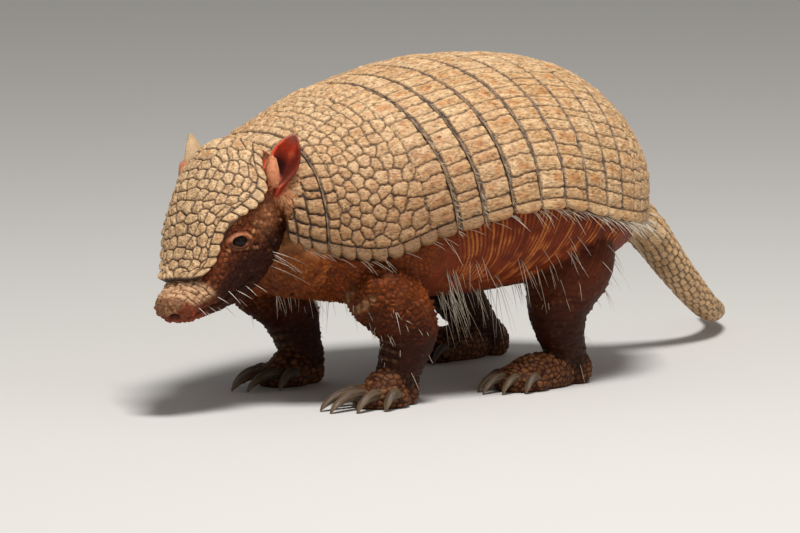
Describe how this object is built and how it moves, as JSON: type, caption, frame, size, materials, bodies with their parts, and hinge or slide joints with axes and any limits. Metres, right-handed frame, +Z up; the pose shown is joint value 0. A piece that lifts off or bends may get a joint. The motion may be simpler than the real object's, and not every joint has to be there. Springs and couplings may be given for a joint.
{
  "type": "six-banded armadillo model",
  "caption": "Life-size still model of an armadillo walking with its head lowered: plated head shield, banded armour, pointed ears, long claws and a scaly tail.",
  "frame": {"origin": "centre of the whole box in x and y, on the floor under the soles", "axes": "+Z up, the animal faces -Y and its left side is +X, so +Y runs back along the body"},
  "size_m": [0.202, 0.536, 0.1867],
  "materials": {
    "shell_plates": "sandy horn over bone, satin, with fine streaks and dark seams",
    "head_plates": "pale horn plates with dark seams, satin",
    "body_skin": "red-brown leathery skin, folded and pebbled, half matte",
    "ear_skin": "thin soft skin, red inside and cream at the rim",
    "claw_horn": "grey-brown keratin, satin, worn at the tips",
    "eye_surface": "dark and wet, high gloss"
  },
  "bodies": {
    "root": {"nuchal_band": "shell_plates", "scapular_shield": "shell_plates", "band_1": "shell_plates", "band_2": "shell_plates", "band_3": "shell_plates", "band_4": "shell_plates", "band_5": "shell_plates", "band_6": "shell_plates", "band_7": "shell_plates", "pelvic_shield": "shell_plates", "leg_fore_left": "body_skin", "foot_fore_left": "body_skin", "claw_fore_left_1": "claw_horn", "claw_fore_left_2": "claw_horn", "claw_fore_left_3": "claw_horn", "claw_fore_left_4": "claw_horn", "claw_fore_left_5": "claw_horn", "leg_fore_right": "body_skin", "foot_fore_right": "body_skin", "claw_fore_right_1": "claw_horn", "claw_fore_right_2": "claw_horn", "claw_fore_right_3": "claw_horn", "claw_fore_right_4": "claw_horn", "claw_fore_right_5": "claw_horn", "leg_hind_left": "body_skin", "foot_hind_left": "body_skin", "claw_hind_left_1": "claw_horn", "claw_hind_left_2": "claw_horn", "claw_hind_left_3": "claw_horn", "claw_hind_left_4": "claw_horn", "claw_hind_left_5": "claw_horn", "leg_hind_right": "body_skin", "foot_hind_right": "body_skin", "claw_hind_right_1": "claw_horn", "claw_hind_right_2": "claw_horn", "claw_hind_right_3": "claw_horn", "claw_hind_right_4": "claw_horn", "claw_hind_right_5": "claw_horn", "trunk": "body_skin", "neck": "body_skin", "head": "body_skin", "head_shield": "head_plates", "ear_left": "ear_skin", "eye_left": "eye_surface", "ear_right": "ear_skin", "eye_right": "eye_surface", "tail_ring_1": "shell_plates", "tail_ring_2": "shell_plates", "tail_ring_3": "shell_plates", "tail_ring_4": "shell_plates", "tail": "shell_plates"}
  },
  "joints": []
}
